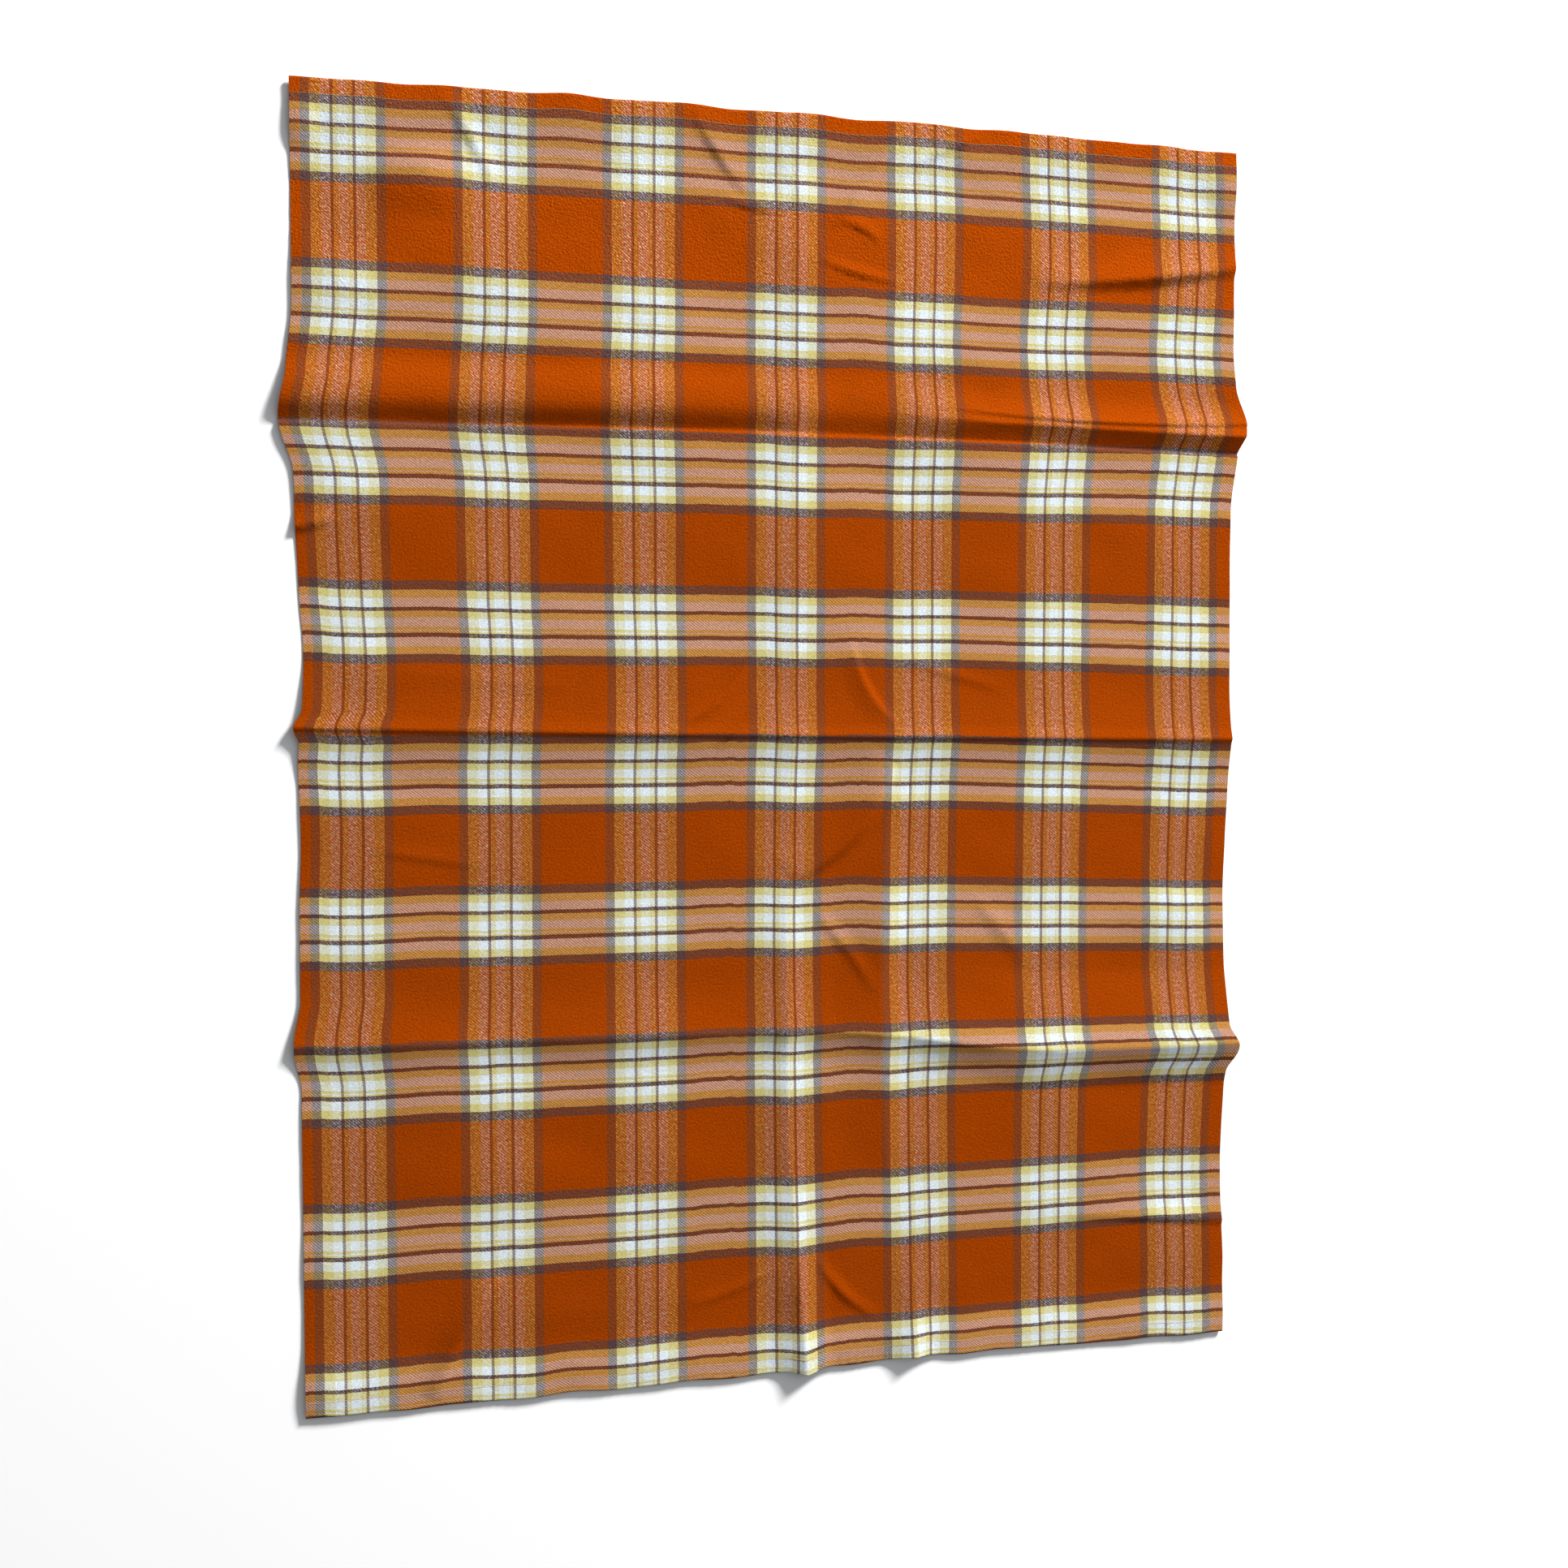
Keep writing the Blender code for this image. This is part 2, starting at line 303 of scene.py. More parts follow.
    # Pills: small felted balls, thickest where the cloth was rubbed.
    balls = tree.nodes.new("ShaderNodeTexVoronoi")
    balls.inputs["Scale"].default_value = 210.0
    tree.links.new(place.outputs[0], balls.inputs["Vector"])
    ball = tree.nodes.new("ShaderNodeMapRange")
    ball.inputs["From Min"].default_value = 0.34
    ball.inputs["From Max"].default_value = 0.05
    tree.links.new(balls.outputs["Distance"], ball.inputs["Value"])
    pills = calculated(tree, "MULTIPLY", ball.outputs[0], rubbed.outputs[0])

    # Relief in millimetres: the yarns' round backs, the felted nap, loose fibres and the pills.
    yarn_back_height = 0.16
    fibre_height = 0.26
    pill_height = 0.85
    backs = tree.nodes.new("ShaderNodeMix")
    tree.links.new(weft_on_top, backs.inputs[0])
    for yarn_number, socket in ((warp_number, backs.inputs[2]), (weft_number, backs.inputs[3])):
        swing = calculated(tree, "SINE", calculated(tree, "MULTIPLY", yarn_number, math.pi))
        tree.links.new(calculated(tree, "ABSOLUTE", swing), socket)
    napped = calculated(tree, "MULTIPLY_ADD", weft.outputs["Alpha"], 1.7, -0.22)
    felting = calculated(tree, "MULTIPLY_ADD", rubbed.outputs[0], 2.4, 1.0)
    felted = calculated(tree, "MULTIPLY", tufts, felting)
    relief = calculated(tree, "MULTIPLY", backs.outputs[0], yarn_back_height)
    relief = calculated(tree, "MULTIPLY_ADD", felted, napped, relief)
    relief = calculated(tree, "MULTIPLY_ADD", fibres, fibre_height, relief)
    napped_pills = calculated(tree, "MULTIPLY", pills, napped)
    relief = calculated(tree, "MULTIPLY_ADD", napped_pills, pill_height, relief)
    bump = tree.nodes.new("ShaderNodeBump")
    bump.inputs["Strength"].default_value = 1.0
    bump.inputs["Distance"].default_value = 0.001
    tree.links.new(relief, bump.inputs["Height"])
    tree.links.new(bump.outputs[0], shader.inputs["Normal"])
    shader.inputs["Roughness"].default_value = 0.92
    shader.inputs["Specular IOR Level"].default_value = 0.01
    return material


flannel_finish = flannel()


# ---- The shape of the spread sheet ---------------------------------------------------------------
# The blanket was pressed while folded, and spreading it out left the folds standing: a swell over the top
# crease, a ridge at the middle and bottom ones, and a crease down the middle. Packing left small wrinkles.

record_joints = {joint["name"]: joint for joint in frame["joints"]}
TOP_FOLD = record_joints["top_fold"]["pos_m"][1]
MIDDLE_FOLD = record_joints["middle_fold"]["pos_m"][1]
BOTTOM_FOLD = record_joints["bottom_fold"]["pos_m"][1]
HALF_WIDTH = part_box("upper_middle_quarter")[1][0]
PACKED_THREAD_RADIUS = 0.00025
STITCH_LINE_TO_EDGE = 0.0205
HALF_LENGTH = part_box("top_hem_needle_thread")[0][1] + PACKED_THREAD_RADIUS + STITCH_LINE_TO_EDGE
CLOTH_THICKNESS = 0.0010


def swell(distance, width):
    """A round hump: one minus the square of distance over width, squared, and nothing past the width."""
    return np.clip(1 - (distance / width) ** 2, 0, 1) ** 2


def crest(distance, above, below, power):
    """A pressed edge: 1 at distance 0, falling as a power of what is left of the width on each side."""
    width = np.where(distance > 0, above, below)
    return np.clip(1 - np.abs(distance) / width, 0, 1) ** power


def between(x, left, right):
    """A value that goes evenly from left at the left selvedge to right at the right one."""
    return left + (right - left) * (x / (2 * HALF_WIDTH) + 0.5)


def waves(x, y, seed, length, count=9):
    """A slow unevenness between about -1 and 1: a sum of straight sine waves at seeded angles, with crests
    about length apart."""
    draw = np.random.default_rng(seed)
    angle = draw.uniform(0, math.tau, count)
    phase = draw.uniform(0, math.tau, count)
    number = math.tau / (length * draw.uniform(0.7, 1.4, count))
    total = np.zeros_like(x)
    for turn, start, rate in zip(angle, phase, number):
        total = total + np.sin(rate * (x * math.cos(turn) + y * math.sin(turn)) + start)
    return total / math.sqrt(2 * count)


def wrinkle(x, y, start, end, bow, height, above, below, power=1.6):
    """A pressed edge along a shallow arc from start to end, fading at both ends. bow is how far the arc's
    middle stands off the straight line, and above and below are the widths of its left and right sides."""
    start, end = np.array(start), np.array(end)
    run = end - start
    length = np.hypot(*run)
    run = run / length
    along = ((x - start[0]) * run[0] + (y - start[1]) * run[1]) / length
    aside = -(x - start[0]) * run[1] + (y - start[1]) * run[0] - 4 * bow * along * (1 - along)
    fade = np.sin(math.pi * np.clip(along, 0, 1)) ** 0.7
    return height * fade * crest(aside, above, below, power)


def cloth_height(x, y):
    """How far the back of the sheet stands off the floor: pressed creases, wrinkles and unevenness."""
    # The swell over the top fold: round at the left, with a sharp crest at the right, and the lip under it.
    over_top = y - TOP_FOLD + 0.004 - 0.008 * swell(x - 0.03, 0.75) - 0.0008 * waves(x, 0 * y, 3, 0.2)
    strength = 0.0118 + 0.0020 * swell(x - 0.66, 0.3) - 0.0045 * np.exp(-(((x - 0.08) / 0.11) ** 2))
    sharp = np.clip((x - 0.12) / 0.16, 0, 1)
    place = 0.032 - 0.008 * sharp
    rise = np.clip(over_top / place, 0, 1)
    round_foot = np.sin(math.pi / 2 * rise) ** 1.3
    fall = np.clip((over_top - place) / 0.056, 0, 1)
    round_fall = (1 - fall**2) ** 2
    foot = (1 - sharp) * round_foot + sharp * rise**1.12
    height = strength * np.where(over_top < place, foot, (1 - sharp) * round_fall + sharp * (1 - fall) ** 1.7)
    lip_rise = 0.0045
    lip = np.clip(-over_top / lip_rise, 0, 1) * np.clip(1 + (over_top + lip_rise) / 0.07, 0, 1) ** 1.8
    height = height + (0.0026 + 0.0010 * sharp) * np.where(over_top < 0, lip, 0)

    # The middle ridge, higher at its right end, with a narrow pressed edge along its crest.
    from_middle = y - between(x, 0.0400, 0.0190) + 0.0025 * np.sin((x + 0.65) * 2.4)
    middle = 0.0104 + 0.0010 * swell(x - 0.16, 0.14) + 0.0016 * swell(x - 0.62, 0.35)
    height = height + middle * crest(from_middle, 0.090, 0.078, 1.7)
    height = height + 0.0019 * crest(from_middle, 0.016, 0.006, 1.3)

    # The bottom ridge, low at the left and tallest at the right, where its steep side ends in a sharp foot.
    tall = np.clip((x - 0.05) / 0.35, 0, 1)
    tall = tall * tall * (3 - 2 * tall)
    from_bottom = y - between(x, -0.366, -0.392) + 0.030 * tall - 0.002 * np.sin((x + 0.3) * 7)
    bottom = between(x, 0.0085, 0.0090) + 0.0105 * tall
    height = height + bottom * (
        (1 - tall) * crest(from_bottom, 0.080, 0.050, 1.9) + tall * crest(from_bottom, 0.110, 0.060, 1.25)
    )

    # The lengthwise crease, which stands highest at the bottom hem, and the soft folds on its right.
    middle_line = 0.004 - 0.012 * np.clip((0.30 - y) / 0.5, 0, 1) + 0.022 * np.clip((-0.52 - y) / 0.33, 0, 1)
    line = 0.0018 + 0.0042 * swell(y + 0.42, 0.34) + 0.0125 * np.clip((-0.50 - y) / 0.30, 0, 1) ** 1.3
    line = line + 0.0022 * swell(y - 0.43, 0.03)
    height = height + line * crest(x - middle_line, 0.046, 0.050, 1.6)
    beside = 0.136 + 0.008 * np.sin(y * 5.0)
    height = height + 0.0078 * swell(y + 0.31, 0.42) * crest(x - beside, 0.045, 0.070, 1.35)
    height = height + 0.0120 * np.clip((-0.70 - y) / 0.15, 0, 1) ** 1.4 * crest(x - 0.172, 0.040, 0.046, 1.6)

    # Wrinkles: where each starts and ends, the bow of its arc, its height, and the widths of its two sides.
    for start, end, bow, rise, above, below in (
        ((0.34, 0.650), (0.72, 0.702), -0.008, 0.0095, 0.050, 0.016),
        ((0.20, 0.476), (0.72, 0.474), -0.012, 0.0040, 0.030, 0.005),
        ((0.03, 0.664), (0.15, 0.640), -0.004, 0.0036, 0.015, 0.0045),
        ((-0.70, 0.278), (-0.60, 0.305), 0.0, 0.0070, 0.024, 0.010),
        ((0.40, -0.662), (0.72, -0.692), 0.003, 0.0045, 0.034, 0.010),
        ((-0.49, -0.840), (-0.40, -0.680), 0.006, 0.0095, 0.040, 0.018),
        ((-0.57, -0.118), (-0.42, -0.142), 0.0, 0.0020, 0.024, 0.008),
        ((-0.53, 0.110), (-0.30, 0.090), 0.0, 0.0020, 0.040, 0.030),
        ((-0.06, 0.738), (-0.140, 0.844), 0.004, 0.0034, 0.012, 0.040),
        ((0.05, 0.705), (0.142, 0.834), -0.006, 0.0040, 0.028, 0.012),
        ((-0.10, 0.735), (-0.01, 0.722), -0.004, 0.0034, 0.018, 0.005),
        ((0.06, 0.715), (0.12, 0.690), 0.006, 0.0034, 0.018, 0.005),
        ((0.14, 0.770), (0.27, 0.842), 0.008, 0.0030, 0.014, 0.008),
        ((-0.465, 0.840), (-0.40, 0.730), 0.006, 0.0038, 0.024, 0.010),
        ((0.000, -0.170), (0.140, -0.012), -0.026, 0.0085, 0.060, 0.016),
        ((0.144, 0.040), (0.080, 0.155), 0.012, 0.0042, 0.030, 0.010),
        ((-0.06, 0.135), (-0.150, 0.045), 0.010, 0.0042, 0.016, 0.008),
        ((-0.11, 0.010), (0.012, 0.148), -0.006, 0.0034, 0.014, 0.008),
        ((0.15, 0.130), (0.30, 0.090), 0.0, 0.0022, 0.018, 0.012),
        ((-0.15, -0.745), (-0.02, -0.700), -0.006, 0.0024, 0.016, 0.010),
        ((0.03, -0.690), (0.118, -0.785), -0.010, 0.0036, 0.016, 0.012),
        ((0.03, -0.210), (0.12, -0.330), 0.006, 0.0026, 0.020, 0.014),
        ((0.26, -0.20), (0.34, -0.30), 0.004, 0.0030, 0.030, 0.020),
    ):
        height = height + wrinkle(x, y, start, end, bow, rise, above, below)

    # Soft mounds: the middle of each, its half width and half length, and its height.
    for centre, size, rise in (
        ((-0.49, 0.735), (0.090, 0.055), 0.0060),
        ((-0.60, 0.600), (0.080, 0.060), 0.0035),
        ((-0.64, 0.790), (0.035, 0.040), 0.0050),
        ((-0.64, -0.800), (0.060, 0.060), 0.0040),
        ((0.64, 0.800), (0.050, 0.050), 0.0040),
        ((-0.36, -0.560), (0.120, 0.060), 0.0020),
        ((0.56, -0.230), (0.100, 0.050), 0.0030),
        ((-0.56, 0.110), (0.080, 0.050), 0.0030),
    ):
        height = height + rise * swell(np.hypot((x - centre[0]) / size[0], (y - centre[1]) / size[1]), 1.0)

    # Unevenness: slow waves, calmer by the hems and the folds, and fine ones that grow towards the top hem.
    crumple = 0.45 + 0.75 * np.clip((y - 0.25) / 0.5, 0, 1)
    calm = 1 - 0.60 * np.clip((np.abs(y) - 0.74) / 0.08, 0, 1) - 0.60 * swell(y - 0.020, 0.09)
    calm = calm - 0.50 * swell(y - 0.465, 0.07)
    slow = calm * (0.0014 * (1 + waves(x, y, 11, 0.26)) + 0.00060 * (1 + waves(x, y, 12, 0.11)))
    fine = crumple * (0.00030 * (1 + waves(x, y, 13, 0.045)) + 0.00012 * (1 + waves(x, y, 14, 0.020)))
    height = height + slow + fine
    return np.maximum(height, 0)


def cloth_shift(x, y):
    """How far the cloth has slid sideways and lengthways on the floor since it lay square."""
    edge = np.abs(x / HALF_WIDTH) ** 3
    spread = 0.015 * swell(y - 0.46, 0.12) - 0.012 * swell(y - 0.10, 0.12) * (x < 0)
    slide = x * spread
    outward = np.where(
        x < 0,
        -0.009 * swell(y - 0.040, 0.022) - 0.009 * swell(y + 0.368, 0.06) - 0.010 * swell(y - 0.425, 0.06)
        + 0.004 * swell(y - 0.20, 0.12) + 0.003 * swell(y + 0.10, 0.10),
        0.010 * swell(y - 0.471, 0.05) + 0.014 * swell(y + 0.428, 0.035) - 0.006 * swell(y + 0.20, 0.20)
        - 0.006 * swell(y + 0.60, 0.16) - 0.003,
    )
    slide = slide + edge * outward
    slide = slide - 0.006 * swell(y + 0.30, 0.45) * swell(x - 0.12, 0.3)
    down = 0.006 * (1 - (x / HALF_WIDTH) ** 2) * np.clip((y - 0.6) / 0.25, 0, 1)
    down = down + 0.006 * np.exp(-(((x - 0.18) / 0.25) ** 2)) * np.clip((-y - 0.65) / 0.2, 0, 1)
    down = down + 0.0016 * waves(x, 0 * y, 21, 0.12) * np.clip((np.abs(y) - 0.72) / 0.12, 0, 1)
    down = down - 0.006 * swell(x - 0.018, 0.030) * np.clip((-y - 0.79) / 0.06, 0, 1)
    return slide, down


def out_of_square(x, y):
    """How far the stripes run out of square in the cloth, to the right and down: the warps draw to the left
    in the middle, and the wefts rise below the middle fold and sag along the right selvedge."""
    aside = 0.0015 - 0.008 * (1 - (x / HALF_WIDTH) ** 4)
    aside = aside + 0.005 * swell(y - 0.70, 0.15) * np.clip(x / 0.3, 0, 1)
    at_right = np.exp(-(((x - 0.62) / 0.28) ** 2))
    sag = 0.024 * swell(y + 0.12, 0.62) + 0.008 * np.clip((-y - 0.5) / 0.2, 0, 1)
    return aside, at_right * sag - 0.010 * swell(y + 0.30, 0.50)


# ---- The hems ------------------------------------------------------------------------------------
# Each end is its own cloth, turned under twice and stitched through: the face layer, the tucked raw edge and
# the back layer lie on each other. The rows of points follow the cloth from the tucked edge, round the hem
# and over the sheet.

HEM_DEPTH = 0.022
HEM_TUCK = 0.010
HEM_LIFT = 0.0011
HEM_SLOPE = 0.060
LAYER_GAP = 0.0003
LAYER_STEP = CLOTH_THICKNESS + LAYER_GAP
STITCH_INSET = 0.0015
FACE_STEPS = 7
TUCK_STEPS = 4
TURN_STEPS = 6
SELVEDGE_BULGE = 0.0003


def half_turn(y, z_from, z_to, outward):
    """Points round a half circle from z_from to z_to that bulges towards outward."""
    angle = np.linspace(0, math.pi, TURN_STEPS + 1)
    radius = abs(z_to - z_from) / 2
    middle = (z_from + z_to) / 2
    return y + outward * radius * np.sin(angle), middle + (z_from - middle) * np.cos(angle)


def hem_path(outward):
    """The cloth from the inner end of the hem out round its edge and back under twice: y, and its height over
    the floor."""
    edge = outward * HALF_LENGTH
    back_layer = HEM_LIFT + CLOTH_THICKNESS / 2
    tucked_layer = back_layer + LAYER_STEP
    face_layer = tucked_layer + LAYER_STEP
    stitch = edge - outward * (HEM_DEPTH - STITCH_INSET)
    outer_start = edge - outward * (LAYER_STEP + CLOTH_THICKNESS / 2)
    inner_start = edge - outward * (HEM_DEPTH - LAYER_STEP / 2)
    face = np.linspace(stitch, outer_start, FACE_STEPS + 1)
    back = np.linspace(outer_start, stitch, FACE_STEPS + 1)
    tuck = np.linspace(inner_start, inner_start + outward * HEM_TUCK, TUCK_STEPS + 1)
    outer_y, outer_z = half_turn(outer_start, face_layer, back_layer, outward)
    inner_y, inner_z = half_turn(inner_start, back_layer, tucked_layer, -outward)
    y = np.concatenate([face[:-1], outer_y, back[1:], inner_y, tuck[1:]])
    z = np.concatenate([
        np.full(FACE_STEPS, face_layer), outer_z, np.full(FACE_STEPS, back_layer), inner_z,
        np.full(TUCK_STEPS, tucked_layer),
    ])
    return y, z


def spaced(start, end, step):
    """Even points from start up to but not with end, about step apart."""
    count = max(2, round(abs(end - start) / step))
    return np.linspace(start, end, count, endpoint=False)


# The rows lie closest over the top swell, the middle ridge and the bottom ridge.
SEAM_UPPER = (TOP_FOLD + MIDDLE_FOLD) / 2
SEAM_LOWER = (MIDDLE_FOLD + BOTTOM_FOLD) / 2
top_hem_y, top_hem_z = hem_path(1)
bottom_hem_y, bottom_hem_z = hem_path(-1)
sheet_y = np.concatenate([
    spaced(HALF_LENGTH - HEM_DEPTH, 0.490, 0.0042),
    spaced(0.490, 0.405, 0.0022),
    spaced(0.405, SEAM_UPPER, 0.0045),
    spaced(SEAM_UPPER, 0.070, 0.0045),
    spaced(0.070, -0.030, 0.0024),
    spaced(-0.030, SEAM_LOWER, 0.0045),
    spaced(SEAM_LOWER, -0.345, 0.0045),
    spaced(-0.345, -0.480, 0.0027),
    spaced(-0.480, HEM_DEPTH - HALF_LENGTH, 0.0045),
    [HEM_DEPTH - HALF_LENGTH],
])

# The sheet lies on the floor, and near a hem it rises to the hem's face layer.
hem_inner_end = HALF_LENGTH - HEM_DEPTH
to_hem = np.clip(1 - (hem_inner_end - np.abs(sheet_y)) / HEM_SLOPE, 0, 1)
face_rise = HEM_LIFT + 2 * LAYER_STEP
sheet_z = CLOTH_THICKNESS / 2 + face_rise * to_hem**2 * (3 - 2 * to_hem)
row_y = np.concatenate([top_hem_y[::-1], sheet_y, bottom_hem_y])
row_z = np.concatenate([top_hem_z[::-1], sheet_z, bottom_hem_z])
top_hem_rows = len(top_hem_y)
seam_rows = [top_hem_rows + int(np.argmin(np.abs(sheet_y - seam))) for seam in (SEAM_UPPER, SEAM_LOWER)]

# The columns lie closest about the lengthwise crease and the folds beside it.
side_columns = np.concatenate([spaced(0.0, 0.16, 0.0040), spaced(0.16, HALF_WIDTH, 0.0062), [HALF_WIDTH]])
column_x = np.concatenate([-side_columns[:0:-1], side_columns])
flat_x, flat_y = np.meshgrid(column_x, row_y)


def hem_pucker(x, y):
    """Small gathers that the stitching draws into a hem: ripples along it that die out past its inner end."""
    reach = 0.030
    gather_pitch = 0.0125
    gather_height = 0.00028
    lift = 0.0006
    near = np.clip(1 - (hem_inner_end - np.abs(y)) / reach, 0, 1)
    ripple = np.sin(x * math.tau / gather_pitch + 1.6 * waves(x, 0 * y, 31, 0.05))
    drift = 0.5 + 0.5 * waves(x, 0 * y, 32, 0.09)
    return near * (gather_height * ripple * drift + lift * (1 + waves(x, 0 * y + np.sign(y), 33, 0.075)))


slide, down = cloth_shift(flat_x, flat_y)
sheet_place = np.stack([
    flat_x + slide,
    flat_y + down,
    cloth_height(flat_x, flat_y) + hem_pucker(flat_x, flat_y) + row_z[:, None],
], axis=-1)


def row_normals(place):
    """Unit normals of a grid of points, from the cross product of its two runs."""
    across = np.gradient(place, axis=1)
    along = np.gradient(place, axis=0)
    normal = np.cross(along, across)
    return normal / np.linalg.norm(normal, axis=-1, keepdims=True)


sheet_normal = row_normals(sheet_place)
face_side = np.sign(sheet_normal[seam_rows[0], 0, 2])        # the open sheet's face looks up
sheet_normal = sheet_normal * face_side

# How far down the cloth each point lies, measured along the cloth itself from the top hem's folded edge.
lengthways = np.stack([np.broadcast_to(row_y[:, None], flat_x.shape), sheet_place[:, :, 2]], axis=-1)
step_length = np.linalg.norm(np.diff(lengthways, axis=0), axis=-1)
cloth_down = np.concatenate([np.zeros((1, len(column_x))), np.cumsum(step_length, axis=0)])
top_edge_row = top_hem_rows - 1 - FACE_STEPS - TURN_STEPS // 2
cloth_down = cloth_down - cloth_down[top_edge_row]
cloth_across = flat_x + HALF_WIDTH
aside, sag = out_of_square(flat_x, flat_y)
stripe_across = cloth_across - aside
stripe_down = cloth_down - sag


def cloth_piece(name, first_row, last_row, finish):
    """A closed piece of the sheet between two rows: its face, its back, and a rounded edge all round them."""
    place = sheet_place[first_row:last_row + 1]
    normal = sheet_normal[first_row:last_row + 1]
    rows, columns = place.shape[:2]
    half = CLOTH_THICKNESS / 2
    face = (place + half * normal).reshape(-1, 3)
    back = (place - half * normal).reshape(-1, 3)
    number = np.arange(rows * columns).reshape(rows, columns)
    corners = np.stack([number[:-1, :-1], number[1:, :-1], number[1:, 1:], number[:-1, 1:]], -1)
    corners = corners.reshape(-1, 4)
    rim = np.concatenate([number[:-1, 0], number[-1, :-1], number[:0:-1, -1], number[0, :0:-1]])
    middle = place.reshape(-1, 3)[rim].copy()
    middle[:rows - 1, 0] -= SELVEDGE_BULGE
    middle[rows + columns - 2:2 * rows + columns - 3, 0] += SELVEDGE_BULGE
    total = rows * columns
    middle_number = 2 * total + np.arange(len(rim))
    following = np.roll(np.arange(len(rim)), -1)
    front_edge = np.stack([rim, middle_number, middle_number[following], rim[following]], -1)
    back_edge = np.stack([middle_number, rim + total, rim[following] + total, middle_number[following]], -1)
    quads = np.concatenate([corners, corners[:, ::-1] + total, front_edge, back_edge])
    mesh = bpy.data.meshes.new(name)
    points = np.concatenate([face, back, middle])
    mesh.vertices.add(len(points))
    mesh.vertices.foreach_set("co", points.astype(np.float32).ravel())
    mesh.loops.add(quads.size)
    mesh.loops.foreach_set("vertex_index", quads.astype(np.int32).ravel())
    mesh.polygons.add(len(quads))
    mesh.polygons.foreach_set("loop_start", np.arange(0, quads.size, 4, dtype=np.int32))
    mesh.polygons.foreach_set("use_smooth", np.ones(len(quads), dtype=bool))
    across = stripe_across[first_row:last_row + 1].ravel()
    along = stripe_down[first_row:last_row + 1].ravel()
    measure = np.stack([across, along], -1)
    measure = np.concatenate([measure, measure, measure[rim]])
    cloth_map = mesh.uv_layers.new(name="cloth_metres")
    cloth_map.uv.foreach_set("vector", measure[quads.ravel()].astype(np.float32).ravel())
    mesh.update(calc_edges=True)
    mesh.validate()
    ends = np.empty(2 * len(mesh.edges), dtype=np.int32)
    mesh.edges.foreach_get("vertices", ends)
    on_rim = np.zeros(len(points), dtype=bool)
    on_rim[rim] = True
    on_rim[rim + total] = True
    ends = ends.reshape(-1, 2)
    sharp = on_rim[ends].all(axis=1) & ((ends < total).all(axis=1) | (ends >= total).all(axis=1))
    mesh.attributes.new("sharp_edge", "BOOLEAN", "EDGE").data.foreach_set("value", sharp)
    mesh.materials.append(finish)
    piece = bpy.data.objects.new(name, mesh)
    bpy.context.scene.collection.objects.link(piece)
    return piece


# ---- The three lengths of cloth ------------------------------------------------------------------
# The sheet is one woven length. It is made here as three, which meet half way between the folds: the top end,
# the middle and the bottom end.

cuts = [0, seam_rows[0], seam_rows[1], len(row_y) - 1]
for name, first, last, a, b, fold, reach, nodes in (
    ("top_cloth", cuts[0], cuts[1], "upper_middle", "top", TOP_FOLD, 0.018, ["top_quarter"]),
    ("middle_cloth", cuts[1], cuts[2], "lower_middle", "upper_middle", MIDDLE_FOLD, 0.045,
     ["upper_middle_quarter", "lower_middle_quarter"]),
    ("bottom_cloth", cuts[2], cuts[3], "bottom", "lower_middle", BOTTOM_FOLD, 0.022, ["bottom_quarter"]),
):
    piece = cloth_piece(name, first, last, flannel_finish)
    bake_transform(piece)
    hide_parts(*nodes)


# ---- The hem stitching ---------------------------------------------------------------------------
# One row of lockstitch in spun thread holds each hem: pale yellow needle thread shows on the face and bobbin
# thread on the back. Each stitch is a short bowed length of thread that dips into the cloth at both ends.

STITCH_PITCH = 0.0031
STITCH_SHOWN = 0.0027
THREAD_RADIUS = 0.00021
STITCH_RISE = 0.00050
STITCH_DIP = 0.00018
STITCH_STRAY = 0.00010
FIRST_STITCH_FROM_SELVEDGE = 0.003
LAST_STITCH_FROM_SELVEDGE = 0.004
STITCH_RINGS = 6
STITCH_SIDES = 6


def thread_finish():
    """Spun sewing thread: pale yellow, with two plies that wind round it, and painted shade in the grooves
    between them.
    """
    material = bpy.data.materials.new("hem_thread")
    material.use_nodes = True
    tree = material.node_tree
    shader = tree.nodes["Principled BSDF"]
    place = tree.nodes.new("ShaderNodeTexCoord")
    plies_and_groove_shade = tree.nodes.new("ShaderNodeTexWave")
    plies_and_groove_shade.wave_type = "BANDS"
    plies_and_groove_shade.bands_direction = "DIAGONAL"
    plies_and_groove_shade.inputs["Scale"].default_value = 700.0
    plies_and_groove_shade.inputs["Distortion"].default_value = 0.6
    tree.links.new(place.outputs["Object"], plies_and_groove_shade.inputs["Vector"])
    # The thread's pale yellow, with painted shade darkening the grooves where the plies' bump dips.
    colour = mixed(tree, "MIX", plies_and_groove_shade.outputs["Fac"], (0.46, 0.27, 0.08, 1.0), (0.78, 0.55, 0.22, 1.0))
    tree.links.new(colour, shader.inputs["Base Color"])
    bump = tree.nodes.new("ShaderNodeBump")
    bump.inputs["Strength"].default_value = 0.5
    bump.inputs["Distance"].default_value = 0.00008
    tree.links.new(plies_and_groove_shade.outputs["Fac"], bump.inputs["Height"])
    tree.links.new(bump.outputs[0], shader.inputs["Normal"])
    shader.inputs["Roughness"].default_value = 0.55
    shader.inputs["Sheen Weight"].default_value = 0.2
    return material


thread_colour = thread_finish()


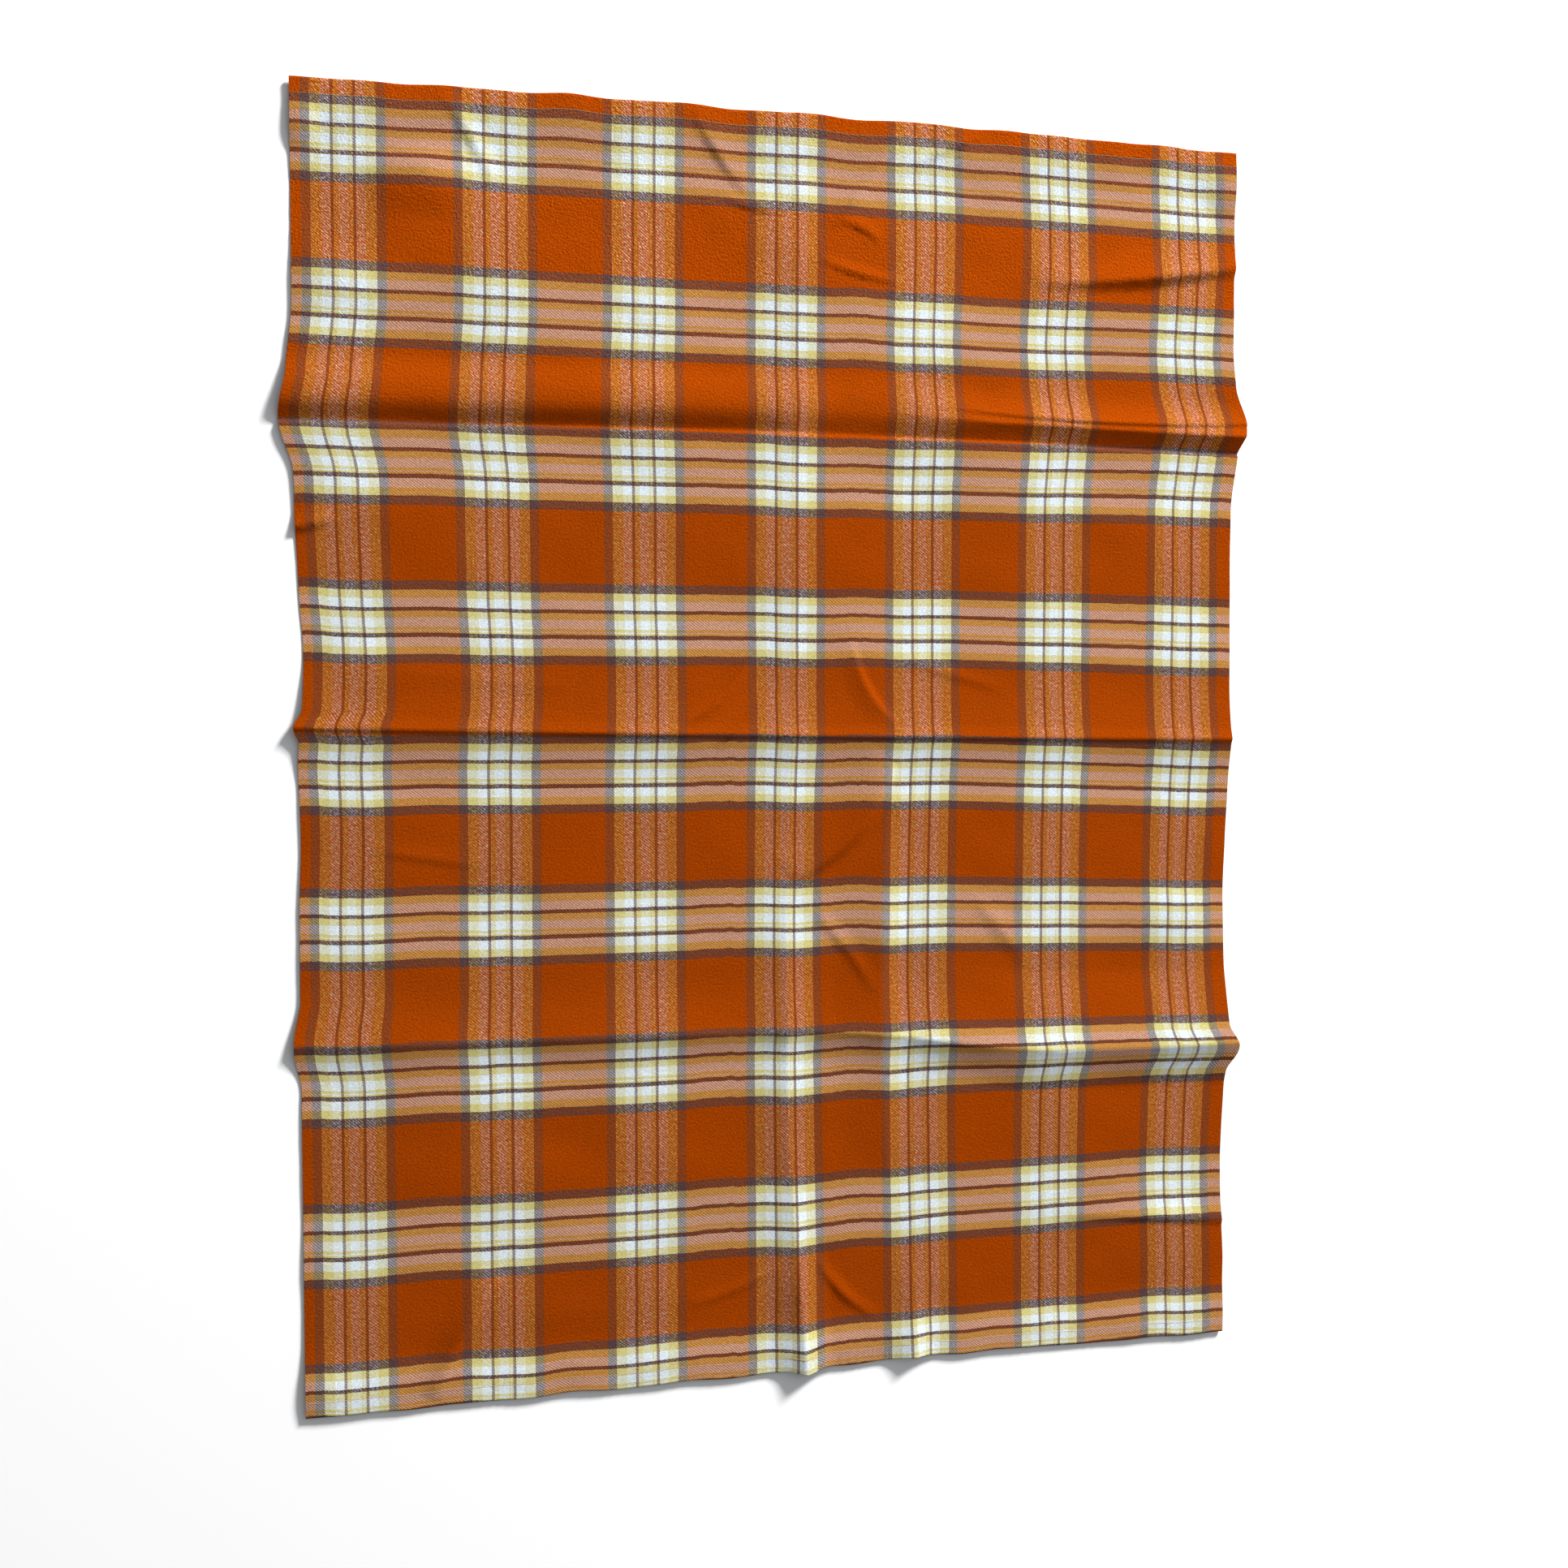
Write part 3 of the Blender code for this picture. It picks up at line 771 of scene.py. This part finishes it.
def stitch_row(name, row, seed):
    """Stitches along one row of points, on the outside of the cloth there. Each one is a tube along an arc
    that starts and ends in the cloth: its height follows a sine, and its ring is a circle."""
    outward = sheet_normal[row]
    surface = sheet_place[row] + CLOTH_THICKNESS / 2 * outward
    measure = cloth_across[row]
    draw = np.random.default_rng(seed)
    starts = np.arange(FIRST_STITCH_FROM_SELVEDGE, measure[-1] - LAST_STITCH_FROM_SELVEDGE, STITCH_PITCH)
    starts = starts + draw.normal(0, STITCH_STRAY, len(starts))
    sway = draw.normal(0, STITCH_STRAY, (len(starts), 2))
    share = np.linspace(0, 1, STITCH_RINGS)
    at = starts[:, None] + share[None, :] * STITCH_SHOWN
    centre = np.stack([np.interp(at, measure, surface[:, k]) for k in range(3)], -1)
    up = np.stack([np.interp(at, measure, outward[:, k]) for k in range(3)], -1)
    up = up / np.linalg.norm(up, axis=-1, keepdims=True)
    rise = STITCH_RISE * np.sin(math.pi * share) ** 0.6 - STITCH_DIP
    centre = centre + up * rise[None, :, None]
    centre[:, :, 1] += sway[:, :1] + (sway[:, 1:] - sway[:, :1]) * share[None, :]
    forward = np.gradient(centre, axis=1)
    forward = forward / np.linalg.norm(forward, axis=-1, keepdims=True)
    aside = np.cross(forward, up)
    aside = aside / np.linalg.norm(aside, axis=-1, keepdims=True)
    top = np.cross(aside, forward)
    angle = np.arange(STITCH_SIDES) * math.tau / STITCH_SIDES
    thin = 0.75 + 0.25 * np.sin(math.pi * share)
    ring = np.cos(angle)[:, None] * aside[:, :, None, :] + np.sin(angle)[:, None] * top[:, :, None, :]
    points = centre[:, :, None, :] + THREAD_RADIUS * thin[None, :, None, None] * ring
    stitches = len(starts)
    number = np.arange(points.size // 3).reshape(stitches, STITCH_RINGS, STITCH_SIDES)
    after = np.roll(number, -1, axis=2)
    walls = np.stack([number[:, :-1], number[:, 1:], after[:, 1:], after[:, :-1]], -1).reshape(-1, 4)
    caps = np.concatenate([number[:, 0, :], number[:, -1, ::-1]])
    mesh = bpy.data.meshes.new(name)
    mesh.from_pydata(points.reshape(-1, 3).tolist(), [], walls.tolist() + caps.tolist())
    mesh.shade_smooth()
    mesh.materials.append(thread_colour)
    piece = bpy.data.objects.new(name, mesh)
    bpy.context.scene.collection.objects.link(piece)
    return piece


first_face_row = top_hem_rows - 1
last_face_row = top_hem_rows + len(sheet_y)
back_step = FACE_STEPS + TURN_STEPS + FACE_STEPS
for name, row, body, node, seed in (
    ("top_needle_stitches", first_face_row, "top", "top_hem_needle_thread", 41),
    ("top_bobbin_stitches", first_face_row - back_step, "top", "top_hem_bobbin_thread", 42),
    ("bottom_needle_stitches", last_face_row, "bottom", "bottom_hem_needle_thread", 43),
    ("bottom_bobbin_stitches", last_face_row + back_step, "bottom", "bottom_hem_bobbin_thread", 44),
):
    stitches = stitch_row(name, row, seed)
    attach(stitches, body)
    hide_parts(node)
